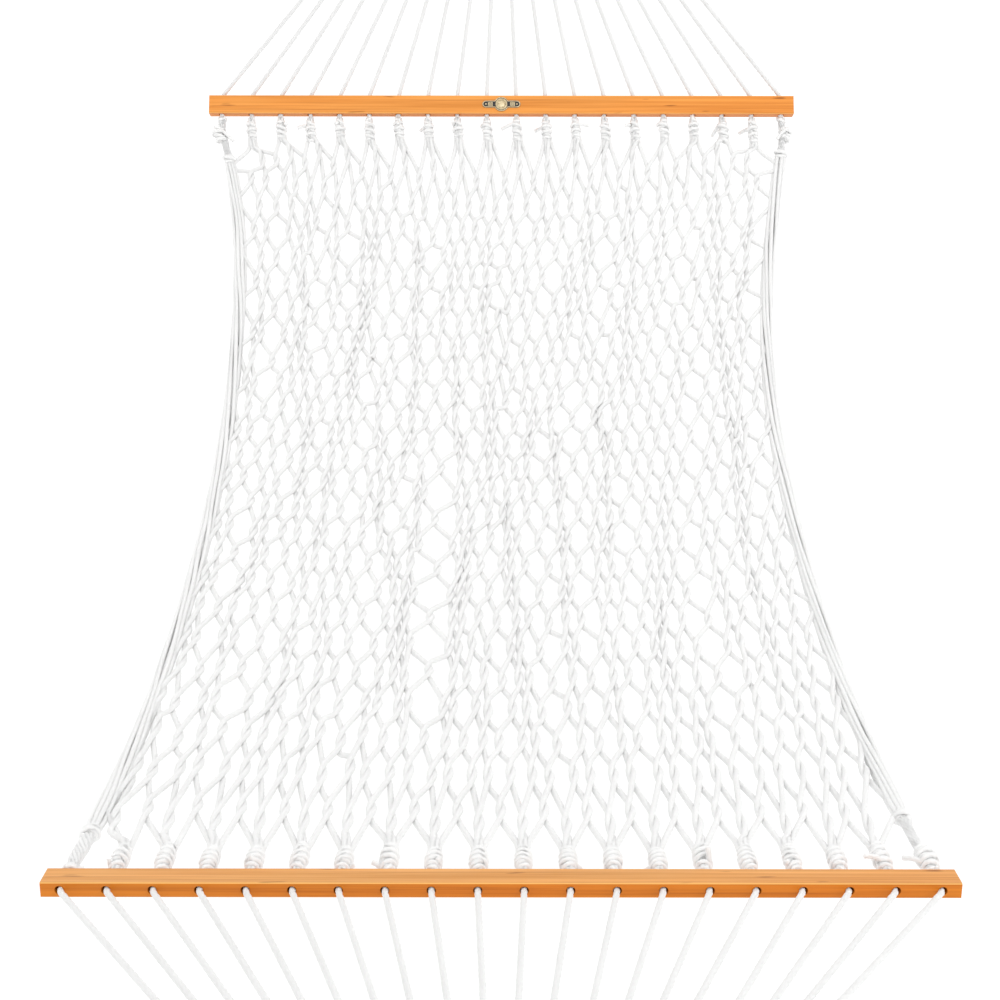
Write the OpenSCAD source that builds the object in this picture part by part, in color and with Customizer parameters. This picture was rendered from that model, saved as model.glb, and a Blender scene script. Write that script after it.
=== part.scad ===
// Rope hammock: knotted net bed between two wooden spreader bars, hung by fans of
// clew ropes from two steel rings on two screw hooks.
// Millimetres, +Z up. The origin is where the front hook's shank enters its post,
// +Y runs from the front hook to the rear hook, and X lies across the bed.

/* [Bed] */
// Length of the bed along its curve, between the inner faces of the two bars
bed_len = 2083; // [1900:1:2200]
// Slope of the bed, bars and clew ropes at each bar, in degrees
end_slope = 34; // [26:1:40]
// Distance between the middles of the two side ropes at the narrowest place
waist_w = 1211; // [1100:1:1260]
// How far the narrowest place lies behind the middle of the bed
waist_shift = 320; // [0:10:400]
// Thickness of the net where its strands are twisted together
net_t = 16; // [14:1:20]
// Diameter of the bundle of strands along each side
side_d = 26; // [20:1:28]

/* [Spreader bars] */
// Length of each bar
bar_len = 1397; // [1380:1:1420]
// Width of each bar, in the direction of the ropes
bar_w = 44.5; // [38:0.5:50]
// Thickness of each bar
bar_t = 25.4; // [22:0.2:30]
// Radius of the long edges
bar_edge_r = 2.5; // [1:0.5:4]
// Distance from one rope hole to the next
hole_pitch = 70.5; // [68:0.1:71]
// Diameter of the rope holes
hole_d = 14; // [13:0.5:16]

/* [Clew ropes] */
// Diameter of a clew rope
clew_d = 9.5; // [8:0.1:9.8]
// Distance from a bar's outer face to the middle of its ring
clew_len = 925; // [800:1:1000]
// Length of the whipping that gathers the clew ropes below the ring
collar_len = 34; // [30:1:60]

/* [Knots] */
// Length of each end knot, from the bar to the net
knot_len = 48; // [30:1:60]
// Diameter of an end knot at its middle
knot_d = 25; // [22:1:28]
// Diameter of an end knot's flat ends
knot_end_d = 17; // [16:1:20]

/* [Rings and hooks] */
// Inner diameter of each ring
ring_in_d = 64; // [60:1:70]
// Thickness of the ring's steel
ring_wire_d = 9.5; // [8:0.5:10]
// Thickness of the hook's steel
hook_wire_d = 10; // [9:0.5:11]
// Radius of the hook's crook, to the middle of the steel
crook_r = 22; // [21:1:26]
// Length of shank that stays outside the post
shank_out = 25; // [15:1:40]
// Diameter of the threaded end that goes into the post
thread_d = 9.5; // [8:0.1:9.8]
// Length of the threaded end, without its point
thread_len = 62; // [50:1:90]

/* [Nameplate] */
// Length of the plate, wings included
plate_len = 91; // [80:1:100]
// Width of the plate's wings
plate_wing_w = 17; // [14:1:20]
// Diameter of the round middle of the plate
plate_disc_d = 35; // [30:1:38]
// Thickness of the plate
plate_t = 1.5; // [1:0.1:2]
// Diameter of the pins that hold the plate
pin_d = 2.4; // [2:0.1:3]

/* [Hidden] */
fit_gap = 0.3;             // clearance between pieces of different bodies
channel_gap = 0.6;         // clearance round the ring where the rope eyes hold it
big = 5000;                // larger than the whole object
hole_n = 20;               // rope holes in each bar, a multiple of layer_n

// The curve of the bed, seen from the side
bed_r = bed_len / (2 * end_slope * PI / 180);
half_chord = bed_r * sin(end_slope);
knot_clear = 0.2;                        // between the knots and the net's end faces
knot_angle = (knot_len + knot_clear) / bed_r * 180 / PI;
net_angle = end_slope - knot_angle;      // half of the net's own sweep

// Distances along the slope, outward from a bar's inner face
ring_u = bar_w + clew_len;               // middle of the ring
hook_in_ring = ring_in_d / 2 - hook_wire_d / 2 - fit_gap;
hook_u = ring_u + hook_in_ring;          // middle of the hook's steel in the ring
crook_u = hook_u + crook_r;              // middle of the crook
ring_r = (ring_in_d + ring_wire_d) / 2;
tip_angle = 45;                          // where the crook ends, above level
tip_d = hook_wire_d + 1.6;               // the crook's ball end
eye_top_v = 19;                          // half the thickness of the rope eyes
eye_w = 48;                              // width of the rope eyes
eye_in_u = ring_u - 20;                  // where the eyes end, inside the ring
collar_top_u = ring_u - 46;              // where eyes and whipping meet
collar_u = collar_top_u - collar_len;    // where whipping and clew ropes meet

// Places in the side view, from the middle of the bed at the height of its ends
crook_y = half_chord + crook_u * cos(end_slope);
crook_z = crook_u * sin(end_slope);
post_y = crook_y + shank_out;
shank_z = crook_z - crook_r;

point_len = 10;                          // tapered point of the thread
point_d = 2;

// The origin's offset: bed middle and height of the bed's ends
mid_y = post_y;
end_z = -shank_z;

// Net outline, seen from above: from the waist each side runs nearly straight to the
// front bar, and turns out in a growing curve toward the rear bar
end_half_w = hole_pitch * (hole_n - 1) / 2;    // side rope at the first and last holes
net_end_y = bed_r * sin(net_angle);
waist_half = waist_w / 2;
side_sagitta = end_half_w - waist_half;
waist_blend = 0.15;                      // how gently the front half leaves the waist
rear_power = 2.5;                        // how late the rear half turns out
function front_rise(t) =
    (sqrt(t * t + waist_blend * waist_blend) - waist_blend)
    / (sqrt(1 + waist_blend * waist_blend) - waist_blend);
function side_x(y) =
    let (d = y - waist_shift)
    waist_half + side_sagitta * (d < 0 ? front_rise(-d / (net_end_y + waist_shift))
                                       : pow(d / (net_end_y - waist_shift), rear_power));
side_clear = 1.2;                        // between net and side rope

// Clew ropes where they enter the whipping: layers of five
layer_n = 4;
layer_pitch = 10;
column_pitch = 12;
column_n = hole_n / layer_n;
function collar_x(i) = (floor(i / layer_n) - (column_n - 1) / 2) * column_pitch;
function collar_v(i) = (i % layer_n - (layer_n - 1) / 2) * layer_pitch;
collar_edge = 8;                         // whipping beyond the rope middles
collar_corner_r = 12;
collar_half_v = (layer_n - 1) / 2 * layer_pitch + collar_edge;
collar_half_x = (column_n - 1) / 2 * column_pitch + collar_edge;

// A clew rope lies against the side of its hole that faces the ring
hole_slack = (hole_d - clew_d) / 2 - 0.15;
bend_u = bar_w + 3.4;                    // where it bends, just outside the hole
bend_grow = 0.35;                        // the bend's extra radius
function hole_x(i) = (i - (hole_n - 1) / 2) * hole_pitch;
function lean_x(i) = hole_x(i) * (1 - hole_slack / end_half_w);

plate_hole_x = plate_len / 2 - plate_wing_w / 2;
pin_head_d = 4;
pin_depth = (bar_t - hole_d) / 2 - 0.7;   // ends above the rope holes

side_rings = 44;                         // rings of the side rope's tube
side_facets = 12;

front = -1;
rear = 1;
left = -1;
right = 1;

function two_digits(i) = str(i < 10 ? "0" : "", i);
CLEWS_FRONT = [for (i = [1:hole_n]) str("clew_rope_front_", two_digits(i))];
CLEWS_REAR = [for (i = [1:hole_n]) str("clew_rope_rear_", two_digits(i))];

// Frame of one end: origin in the middle of the bar's inner face, +Y outward along
// the slope (u), +Z square to it on the upper side (v)
module at_end(end) {
    translate([0, mid_y, end_z])
        mirror([0, end == front ? 1 : 0, 0])
            translate([0, half_chord, 0])
                rotate([end_slope, 0, 0])
                    children();
}

// Frame of the bed's curve: Z lies across the bed, and X points down at the middle
module at_bed_curve() {
    translate([0, mid_y, end_z + bed_r * cos(end_slope)])
        rotate([0, 90, 0])
            children();
}

// Round bar from point a to point b
module rod(a, b, d) {
    s = b - a;
    translate(a)
        rotate([0, acos(s.z / norm(s)), atan2(s.y, s.x)])
            cylinder(h = norm(s), d = d, $fn = 24);
}

// Rectangle with round corners, from circles and squares
module round_rect(size, r) {
    square([size.x, size.y - 2 * r], center = true);
    square([size.x - 2 * r, size.y], center = true);
    for (sx = [-1, 1], sy = [-1, 1])
        translate([sx * (size.x / 2 - r), sy * (size.y / 2 - r)])
            circle(r = r, $fn = 32);
}

// One screw hook: crook, ball end, shank, thread as a plain cylinder, and point
module hook(end) {
    color("silver")
        translate([0, mid_y, end_z])
            mirror([0, end == front ? 1 : 0, 0])
                translate([0, crook_y, crook_z]) {
                    rotate([90, 0, 90])
                        rotate([0, 0, tip_angle])
                            rotate_extrude(angle = 270 - tip_angle, $fn = 72)
                                translate([crook_r, 0])
                                    circle(d = hook_wire_d, $fn = 32);
                    translate([0, crook_r * cos(tip_angle), crook_r * sin(tip_angle)])
                        rotate([tip_angle, 90, 0])
                            sphere(d = tip_d, $fn = 48);
                    translate([0, 0, -crook_r])
                        rotate([-90, 90, 0]) {
                            cylinder(h = shank_out, d = hook_wire_d, $fn = 48);
                            translate([0, 0, shank_out])
                                cylinder(h = thread_len, d = thread_d, $fn = 48);
                            translate([0, 0, shank_out + thread_len])
                                cylinder(h = point_len, d1 = thread_d, d2 = point_d, $fn = 48);
                        }
                }
}

// One closed steel ring
module ring(end) {
    color("gainsboro")
        at_end(end)
            translate([0, ring_u, 0])
                rotate_extrude($fn = 96)
                    translate([ring_r, 0])
                        circle(d = ring_wire_d, $fn = 32);
}

// One spreader bar with its rope holes
module spreader_bar(end) {
    color("peru")
        at_end(end)
            difference() {
                translate([-bar_len / 2, bar_w / 2, 0])
                    rotate([90, 0, 90])
                        linear_extrude(bar_len)
                            round_rect([bar_w, bar_t], bar_edge_r);
                for (i = [0:hole_n - 1])
                    translate([hole_x(i), -1, 0])
                        rotate([-90, 0, 0])
                            cylinder(h = bar_w + 2, d = hole_d, $fn = 48);
                if (end == rear)
                    for (sx = [left, right])
                        translate([sx * plate_hole_x, bar_w / 2, bar_t / 2 - pin_depth])
                            cylinder(h = pin_depth + 1, d = pin_d + 0.1, $fn = 24);
            }
}

// One clew rope: through its hole, round the hole's edge, and straight to the whipping
module clew_rope(end, i) {
    bend = [lean_x(i), bend_u, 0];
    far = [collar_x(i), collar_u, collar_v(i)];
    beyond = far + (far - bend) * (20 / norm(far - bend));
    color("ivory")
        at_end(end)
            difference() {
                union() {
                    rod([lean_x(i), 0, 0], bend, clew_d);
                    translate(bend)
                        rotate([0, 0, bend.x < 0 ? 180 : 0])
                            sphere(d = clew_d + 2 * bend_grow, $fn = 32);
                    rod(bend, beyond, clew_d);
                }
                translate([-big / 2, collar_u, -big / 2])
                    cube([big, big, big]);
            }
}

// The whipping round all the clew ropes of one end, with the ropes inside it
module clew_whipping(end) {
    color("linen")
        at_end(end)
            translate([0, collar_u, 0])
                rotate([-90, 0, 0])
                    linear_extrude(collar_len)
                        round_rect([2 * collar_half_x, 2 * collar_half_v], collar_corner_r);
}

// The rope eyes above the whipping, which pass round the ring's steel
module clew_eyes(end) {
    round_u = eye_in_u - eye_top_v;
    color("ivory")
        at_end(end)
            difference() {
                translate([-eye_w / 2, 0, 0])
                    rotate([90, 0, 90])
                        linear_extrude(eye_w)
                            intersection() {
                                union() {
                                    translate([round_u, 0])
                                        circle(r = eye_top_v, $fn = 64);
                                    translate([collar_top_u, -eye_top_v])
                                        square([round_u - collar_top_u, 2 * eye_top_v]);
                                }
                                translate([collar_top_u, -eye_top_v])
                                    square([3 * eye_top_v, 2 * eye_top_v]);
                            }
                translate([0, ring_u, 0])
                    rotate_extrude($fn = 96)
                        translate([ring_r, 0])
                            circle(d = ring_wire_d + 2 * channel_gap, $fn = 32);
            }
}

// The net as a curved sheet with its true outline
module net() {
    color("whitesmoke")
        intersection() {
            at_bed_curve()
                rotate([0, 0, -net_angle])
                    rotate_extrude(angle = 2 * net_angle, $fn = 360)
                        translate([bed_r - net_t / 2, -end_half_w])
                            square([net_t, 2 * end_half_w]);
            translate([0, mid_y, -big / 2])
                linear_extrude(big)
                    polygon(concat(net_edge(left), net_edge(right)));
        }
}

// One edge of the net seen from above, from front to rear on the left and back on the right
function net_edge(side) =
    [for (k = [0:side_rings - 1])
        let (t = side * (1 - 2 * k / (side_rings - 1)), y = (net_end_y + 20) * t)
        [side * (side_x(y) - side_d / 2 - side_clear), y]];

// The bundle of strands along one side, from corner knot to corner knot
module side_rope(side) {
    angles = [for (k = [0:side_rings - 1]) net_angle * (2 * k / (side_rings - 1) - 1)];
    points = [for (a = angles, j = [0:side_facets - 1])
        let (t = 360 * (j + 0.5) / side_facets, rr = bed_r + side_d / 2 * sin(t))
        [side * side_x(bed_r * sin(a)) + side_d / 2 * cos(t), rr * sin(a), -rr * cos(a)]];
    last = (side_rings - 1) * side_facets;
    faces = concat(
        [[for (j = [0:side_facets - 1]) j]],
        [for (k = [0:side_rings - 2], j = [0:side_facets - 1])
            let (n = (j + 1) % side_facets, a = k * side_facets, b = a + side_facets)
            [a + n, a + j, b + j, b + n]],
        [[for (j = [side_facets - 1:-1:0]) last + j]]
    );
    color("ivory")
        translate([0, mid_y, end_z + bed_r * cos(end_slope)])
            polyhedron(points, faces);
}

// The knots between one bar and the net, one at each hole
module end_knots(end) {
    bulge_r = (pow(knot_len / 2, 2) + pow((knot_d - knot_end_d) / 2, 2)) / (knot_d - knot_end_d);
    color("white")
        at_end(end)
            for (i = [0:hole_n - 1])
                translate([hole_x(i), 0, 0])
                    rotate([90, 0, 0])
                        rotate_extrude($fn = 48)
                            intersection() {
                                translate([knot_d / 2 - bulge_r, knot_len / 2])
                                    circle(r = bulge_r, $fn = 96);
                                square([knot_d, knot_len]);
                            }
}

// The plate on top of the rear bar
module nameplate() {
    color("black")
        at_end(rear)
            translate([0, bar_w / 2, bar_t / 2])
                linear_extrude(plate_t)
                    difference() {
                        union() {
                            circle(d = plate_disc_d, $fn = 64);
                            square([2 * plate_hole_x, plate_wing_w], center = true);
                            for (sx = [left, right])
                                translate([sx * plate_hole_x, 0])
                                    circle(d = plate_wing_w, $fn = 48);
                        }
                        for (sx = [left, right])
                            translate([sx * plate_hole_x, 0])
                                circle(d = pin_d + 0.1, $fn = 24);
                    }
}

// The two round-headed pins that hold the plate
module nameplate_pins() {
    color("goldenrod")
        at_end(rear)
            for (sx = [left, right])
                translate([sx * plate_hole_x, bar_w / 2, bar_t / 2 + plate_t]) {
                    translate([0, 0, -pin_depth - plate_t + 1])
                        cylinder(h = pin_depth + plate_t - 1, d = pin_d, $fn = 24);
                    intersection() {
                        translate([0, 0, 1 - pin_head_d / 2])
                            sphere(d = pin_head_d + 0.5, $fn = 32);
                        translate([-pin_head_d, -pin_head_d, 0])
                            cube([2 * pin_head_d, 2 * pin_head_d, pin_head_d]);
                    }
                }
}

hook(front);  // hook_front
hook(rear);  // hook_rear
ring(front);  // ring_front
ring(rear);  // ring_rear
spreader_bar(front);  // spreader_bar_front
spreader_bar(rear);  // spreader_bar_rear
for (i = [0:hole_n - 1]) {
    clew_rope(front, i);
    clew_rope(rear, i);
}
clew_whipping(front);  // clew_whipping_front
clew_whipping(rear);  // clew_whipping_rear
clew_eyes(front);  // clew_eyes_front
clew_eyes(rear);  // clew_eyes_rear
net();
side_rope(left);  // side_rope_left
side_rope(right);  // side_rope_right
end_knots(front);  // end_knots_front
end_knots(rear);  // end_knots_rear
nameplate();
nameplate_pins();
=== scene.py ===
"""Rope hammock: the looks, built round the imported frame. Metres, +Z up, +Y to the rear hook."""

import math

import bpy
import numpy as np
from mathutils import Matrix, Vector


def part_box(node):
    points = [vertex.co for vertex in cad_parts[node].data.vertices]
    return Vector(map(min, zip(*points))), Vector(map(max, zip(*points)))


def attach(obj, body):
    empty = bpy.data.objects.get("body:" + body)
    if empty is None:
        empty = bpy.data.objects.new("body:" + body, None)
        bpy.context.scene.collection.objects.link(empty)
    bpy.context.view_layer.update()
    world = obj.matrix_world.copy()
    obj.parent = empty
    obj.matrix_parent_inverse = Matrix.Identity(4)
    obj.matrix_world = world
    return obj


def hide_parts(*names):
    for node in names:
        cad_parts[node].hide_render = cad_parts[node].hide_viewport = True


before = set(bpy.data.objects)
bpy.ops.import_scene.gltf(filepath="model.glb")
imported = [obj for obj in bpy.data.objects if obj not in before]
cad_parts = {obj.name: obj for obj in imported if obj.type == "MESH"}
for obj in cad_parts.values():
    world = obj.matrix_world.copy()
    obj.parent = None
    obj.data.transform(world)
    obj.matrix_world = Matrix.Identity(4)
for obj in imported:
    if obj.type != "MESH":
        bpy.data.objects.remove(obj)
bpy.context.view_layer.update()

MM = 0.001
FRONT, REAR = -1, 1
LEFT, RIGHT = -1, 1
END_NAMES = {FRONT: "front", REAR: "rear"}
rng = np.random.default_rng(20)

# ---------------------------------------------------------------- sizes of the design
SLOPE = math.radians(34)        # of the bed, bars and clew ropes at each bar
BAR_W, BAR_T = 44.5 * MM, 25.4 * MM
HOLES, HOLE_PITCH = 20, 70.5 * MM
CLEW_LEN = 925 * MM             # from a bar's outer face to the middle of its ring
KNOT_LEN = 48 * MM
WAIST_HALF = 605.5 * MM         # middle of a side rope at the narrowest place
WAIST_SHIFT = 320 * MM          # how far that place lies behind the bed's middle
WAIST_BLEND = 0.15              # how gently the front half leaves the waist
REAR_POWER = 2.5                # how late the rear half turns out
RING_R, RING_WIRE_R = 36.75 * MM, 4.75 * MM
HOOK_WIRE_R, CROOK_R = 5 * MM, 22 * MM
COLLAR_TOP = 46 * MM            # from the ring's middle to where eyes and whipping meet
COLLAR_LEN = 34 * MM

# ---------------------------------------------------------------- places, from the frame


def middle(node):
    """Middle of a CAD node's box."""
    low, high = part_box(node)
    return np.array((Vector(low) + Vector(high)) / 2)


class End:
    """One end's own axes: u runs outward along the slope from the bar's inner face, v is square to it."""

    def __init__(self, end):
        self.name = END_NAMES[end]
        self.u = np.array([0, end * math.cos(SLOPE), math.sin(SLOPE)])
        self.v = np.array([0, -end * math.sin(SLOPE), math.cos(SLOPE)])
        self.x = np.array([1.0, 0, 0])
        self.origin = middle(f"spreader_bar_{self.name}") - self.u * BAR_W / 2

    def at(self, x, u, v):
        """Points of this end's frame, in the row frame."""
        x, u, v = (np.asarray(a, float)[..., None] for a in np.broadcast_arrays(x, u, v))
        return self.origin + x * self.x + u * self.u + v * self.v


ENDS = {end: End(end) for end in (FRONT, REAR)}
HALF_CHORD = (ENDS[REAR].origin[1] - ENDS[FRONT].origin[1]) / 2
MID_Y = (ENDS[REAR].origin[1] + ENDS[FRONT].origin[1]) / 2
BED_R = HALF_CHORD / math.sin(SLOPE)
BED_HALF = BED_R * SLOPE        # half the bed's length along its curve
BAR_Z = ENDS[REAR].origin[2]
CURVE_Z = BAR_Z + BED_R * math.cos(SLOPE)
RING_U = BAR_W + CLEW_LEN
END_HALF = HOLE_PITCH * (HOLES - 1) / 2
NET_END_Y = BED_R * math.sin((BED_HALF - KNOT_LEN) / BED_R)
SAG = 24 * MM                   # how far the net's middle hangs below its sides
DRIFT = 10 * MM                 # how far the net hangs off the middle plane, near the rear bar
DRIFT_S, DRIFT_REACH = 820 * MM, 280 * MM    # where along the curve it does so, and how widely
DRIFT_END = 110 * MM            # it fades over this distance from the bar


def hole_x(i):
    return (i - (HOLES - 1) / 2) * HOLE_PITCH


def side_half(s):
    """Distance from the middle plane to a side rope, at arc length s from the bed's middle."""
    y = BED_R * np.sin(np.asarray(s, float) / BED_R) - WAIST_SHIFT
    front = np.maximum(-y, 0) / (NET_END_Y + WAIST_SHIFT)
    rear = np.maximum(y, 0) / (NET_END_Y - WAIST_SHIFT)
    front_rise = np.hypot(front, WAIST_BLEND) - WAIST_BLEND
    front_rise = front_rise / (math.hypot(1, WAIST_BLEND) - WAIST_BLEND)
    share = np.where(y < 0, front_rise, rear**REAR_POWER)
    return WAIST_HALF + (END_HALF - WAIST_HALF) * np.minimum(share, 1)


def drift(s):
    """Sideways hang of the soft net at arc length s."""
    fade = np.clip((BED_HALF - s) / DRIFT_END, 0, 1)
    return DRIFT * np.exp(-(((s - DRIFT_S) / DRIFT_REACH) ** 2)) * fade


def on_bed(route):
    """Row-frame points of a route given as x across, s along the bed's curve, lift square to it."""
    x, s, lift = np.asarray(route, float).T
    x = x + drift(s)
    angle = s / BED_R
    reach = BED_R - lift
    across = 1 - np.minimum((x / WAIST_HALF) ** 2, 1)
    along = np.maximum(1 - (s / BED_HALF) ** 2, 0)
    y = MID_Y + reach * np.sin(angle)
    z = CURVE_Z - reach * np.cos(angle) - SAG * across * along
    return np.column_stack([x, y, z])


# ---------------------------------------------------------------- camera, floor and light
CAMERA_FROM_BED = np.array([-2.2, -2012.4, 2125.7]) * MM    # from the bed's middle, level with the bars
CAMERA_PITCH = math.radians(49.92)                          # below level
CAMERA_ROLL = math.radians(0.07)
CAMERA_LENS, CAMERA_SENSOR = 53.4, 36                       # as cameras give them
FLOOR_Z = -1.5                                              # the hooks hang at chest height
FLOOR_HALF = 30
SKY_STRENGTH = 1.15


def make_camera():
    data = bpy.data.cameras.new("camera")
    data.lens = CAMERA_LENS
    data.sensor_width = CAMERA_SENSOR
    data.clip_end = 100
    cam = bpy.data.objects.new("camera", data)
    bpy.context.scene.collection.objects.link(cam)
    turn = Matrix.Rotation(math.pi / 2 - CAMERA_PITCH, 4, "X") @ Matrix.Rotation(CAMERA_ROLL, 4, "Z")
    place = Vector([0, MID_Y, BAR_Z]) + Vector(CAMERA_FROM_BED)
    cam.matrix_world = Matrix.Translation(place) @ turn
    bpy.context.scene.camera = cam


def make_floor():
    mesh = bpy.data.meshes.new("floor")
    corners = [(sx * FLOOR_HALF, sy * FLOOR_HALF, 0) for sx, sy in ((-1, -1), (1, -1), (1, 1), (-1, 1))]
    mesh.from_pydata(corners, [], [(0, 1, 2, 3)])
    floor = bpy.data.objects.new("floor", mesh)
    floor.location = (0, MID_Y, FLOOR_Z)
    bpy.context.scene.collection.objects.link(floor)
    mat = bpy.data.materials.new("pale_floor")
    mat.use_nodes = True
    shader = mat.node_tree.nodes["Principled BSDF"]
    shader.inputs["Base Color"].default_value = (0.97, 0.97, 0.97, 1)
    shader.inputs["Roughness"].default_value = 0.9
    shader.inputs["Specular IOR Level"].default_value = 0.1
    mesh.materials.append(mat)


def make_light():
    world = bpy.data.worlds.new("studio")
    world.use_nodes = True
    sky = world.node_tree.nodes["Background"]
    sky.inputs["Color"].default_value = (1, 1, 1, 1)
    sky.inputs["Strength"].default_value = SKY_STRENGTH
    bpy.context.scene.world = world
    for name, place, size, watts in (
        ("key", (3.0, -1.9, 3.2), 1.6, 34),
        ("fill", (-3.2, -1.0, 2.6), 3.5, 8),
    ):
        data = bpy.data.lights.new(name, "AREA")
        data.size = size
        data.energy = watts
        lamp = bpy.data.objects.new(name, data)
        lamp.location = Vector(place) + Vector([0, MID_Y, 0])
        aim = Vector([0, MID_Y, BAR_Z]) - lamp.location
        lamp.rotation_euler = aim.to_track_quat("-Z", "Y").to_euler()
        bpy.context.scene.collection.objects.link(lamp)
    bpy.context.scene.view_settings.view_transform = "Standard"


make_camera()
make_floor()
make_light()

# ---------------------------------------------------------------- materials


class Nodes:
    """Short ways to add shader nodes to one material."""

    def __init__(self, name):
        self.mat = bpy.data.materials.new(name)
        self.mat.use_nodes = True
        self.tree = self.mat.node_tree
        self.shader = self.tree.nodes["Principled BSDF"]

    def add(self, kind, **values):
        node = self.tree.nodes.new(kind)
        for key, value in values.items():
            setattr(node, key, value)
        return node

    def put(self, socket, value):
        """Feeds a socket from another one, or sets its constant value."""
        if isinstance(value, bpy.types.NodeSocket):
            self.tree.links.new(value, socket)
        else:
            socket.default_value = (*value, 1) if socket.type == "RGBA" else value

    def feed(self, node, **values):
        for key, value in values.items():
            self.put(node.inputs[key.replace("_", " ")], value)
        return node

    def set(self, **values):
        self.feed(self.shader, **values)

    def place(self):
        return self.add("ShaderNodeTexCoord").outputs["Object"]

    def mapped(self, vector, scale=(1, 1, 1), turn=(0, 0, 0), shift=(0, 0, 0)):
        """The vector moved, turned and scaled."""
        node = self.add("ShaderNodeMapping")
        return self.feed(node, Vector=vector, Location=shift, Rotation=turn, Scale=scale).outputs["Vector"]

    def noise(self, vector, scale, detail=3.0, rough=0.55):
        node = self.add("ShaderNodeTexNoise")
        return self.feed(node, Vector=vector, Scale=scale, Detail=detail, Roughness=rough).outputs["Fac"]

    def ramp(self, fac, stops):
        """Colours or greys along fac; each stop is (position, colour)."""
        node = self.add("ShaderNodeValToRGB")
        band = node.color_ramp
        while len(band.elements) < len(stops):
            band.elements.new(0.5)
        for element, (position, colour) in zip(band.elements, stops):
            element.position = position
            element.color = (*colour, 1)
        return self.feed(node, Fac=fac).outputs["Color"]

    def mix(self, fac, a, b, blend="MIX"):
        """a and b are sockets or colours; fac is a socket or a number."""
        node = self.add("ShaderNodeMix", data_type="RGBA", blend_type=blend)
        for index, value in ((0, fac), (6, a), (7, b)):
            self.put(node.inputs[index], value)
        return node.outputs[2]

    def math(self, how, a, b):
        node = self.add("ShaderNodeMath", operation=how)
        for socket, value in zip(node.inputs, (a, b)):
            self.put(socket, value)
        return node.outputs[0]

    def bump(self, height, strength, distance):
        node = self.feed(self.add("ShaderNodeBump"), Height=height, Strength=strength, Distance=distance)
        self.set(Normal=node.outputs["Normal"])


def grey(value):
    return (value, value, value)


def rope_material(name, pale, shade):
    """Soft-spun rope that light sinks into: fibres run along it, and its colour varies a little."""
    n = Nodes(name)
    lay = n.add("ShaderNodeUVMap", uv_map="lay").outputs["UV"]
    fibres = n.noise(n.mapped(lay, scale=(30, 170, 1), turn=(0, 0, 0.02)), 1.0, detail=2.5, rough=0.65)
    blotch = n.noise(n.place(), 9.0, detail=3.0)
    base = n.mix(n.ramp(blotch, [(0.3, grey(0)), (0.75, grey(1))]), pale, shade)
    groove = tuple(0.9 * c for c in shade)
    colour = n.mix(n.ramp(fibres, [(0.35, grey(0.0)), (0.8, grey(0.4))]), base, groove)
    n.set(Base_Color=colour)
    n.set(Roughness=0.88, Sheen_Weight=0.12, Sheen_Roughness=0.5, Specular_IOR_Level=0.25)
    n.set(Subsurface_Weight=0.7, Subsurface_Radius=(1, 1, 1), Subsurface_Scale=3 * MM)
    n.bump(fibres, 0.35, 0.6 * MM)
    return n.mat


# Each bar's wood colour, with painted light on its top face and painted shade on its other faces
WOOD_TONES_WITH_PAINTED_LIGHT = {
    FRONT: ((0.79, 0.40, 0.135), (0.66, 0.210, 0.017)),
    REAR: ((0.87, 0.36, 0.080), (0.77, 0.280, 0.060)),
}


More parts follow.
